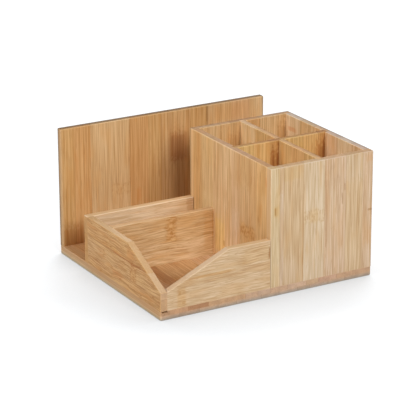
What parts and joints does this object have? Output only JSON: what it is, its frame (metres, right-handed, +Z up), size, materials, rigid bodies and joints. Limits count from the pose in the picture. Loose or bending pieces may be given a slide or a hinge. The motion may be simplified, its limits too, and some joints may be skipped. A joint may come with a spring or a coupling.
{
  "type": "desk organizer",
  "caption": "Open desk organizer of wooden boards: a tall letter panel, a square pen box with crossed dividers, a sloped note tray and a card slot on one base.",
  "frame": {"origin": "middle of the underside of the base board, on the surface that the organizer stands on", "axes": "+X to the right along the front, +Y to the back where the tall letter panel stands, +Z up"},
  "size_m": [0.24, 0.214, 0.135],
  "materials": {
    "base_bamboo": "natural laminated bamboo, sanded smooth, thin clear satin lacquer, end-grain blocks along its front edge",
    "panel_bamboo": "natural laminated bamboo with upright grain, thin clear satin lacquer",
    "pen_front_bamboo": "pale laminated bamboo with upright grain, thin clear satin lacquer",
    "pen_box_bamboo": "natural laminated bamboo with upright grain, thin clear satin lacquer",
    "divider_bamboo": "natural laminated bamboo, thin clear satin lacquer",
    "tray_bamboo": "natural laminated bamboo with level grain, thin clear satin lacquer",
    "screw_steel": "zinc-plated steel, satin"
  },
  "bodies": {
    "root": {"base_board": "base_bamboo", "back_panel": "panel_bamboo", "pen_front_wall": "pen_front_bamboo", "pen_back_wall": "pen_box_bamboo", "pen_left_wall": "pen_box_bamboo", "pen_right_wall": "pen_box_bamboo", "pen_long_divider": "divider_bamboo", "pen_cross_divider": "divider_bamboo", "tray_side_board": "tray_bamboo", "tray_front_board": "tray_bamboo", "tray_back_board": "tray_bamboo", "card_divider": "divider_bamboo", "base_screws": "screw_steel"}
  },
  "joints": []
}
